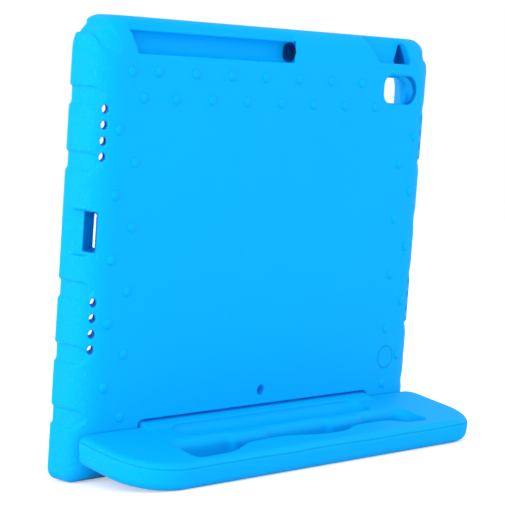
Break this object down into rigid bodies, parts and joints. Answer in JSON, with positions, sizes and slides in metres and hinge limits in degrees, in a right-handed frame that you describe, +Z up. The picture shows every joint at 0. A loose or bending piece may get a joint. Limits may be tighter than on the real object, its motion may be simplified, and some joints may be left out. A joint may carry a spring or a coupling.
{
  "type": "tablet case with handle stand",
  "caption": "Thick foam tablet case leaning on a folding handle that serves as its stand, with a stylus trough and openings for camera, buttons, port and speakers.",
  "frame": {"origin": "on the table, under the middle of the whole object as it stands", "axes": "+X along the case's length towards the charging port side, +Y from the screen side towards the stand behind the case, +Z up"},
  "size_m": [0.279, 0.083, 0.2464],
  "materials": {
    "foam": "matt closed-cell foam with a fine grain",
    "handle_foam": "matt closed-cell foam with a fine grain",
    "pin_plastic": "matt",
    "bush_plastic": "matt"
  },
  "bodies": {
    "case": {"case_body": "foam", "hinge_pin_right": "pin_plastic", "hinge_pin_left": "pin_plastic"},
    "handle": {"handle_stand": "handle_foam", "hinge_bush_right": "bush_plastic", "hinge_bush_left": "bush_plastic"}
  },
  "joints": [
    {"name": "handle_hinge", "type": "hinge", "parent": "case", "child": "handle", "pos_m": [0, -0.02889, 0.01749], "axis": [-1, 0, 0], "range_deg": [0, 82.5]}
  ]
}
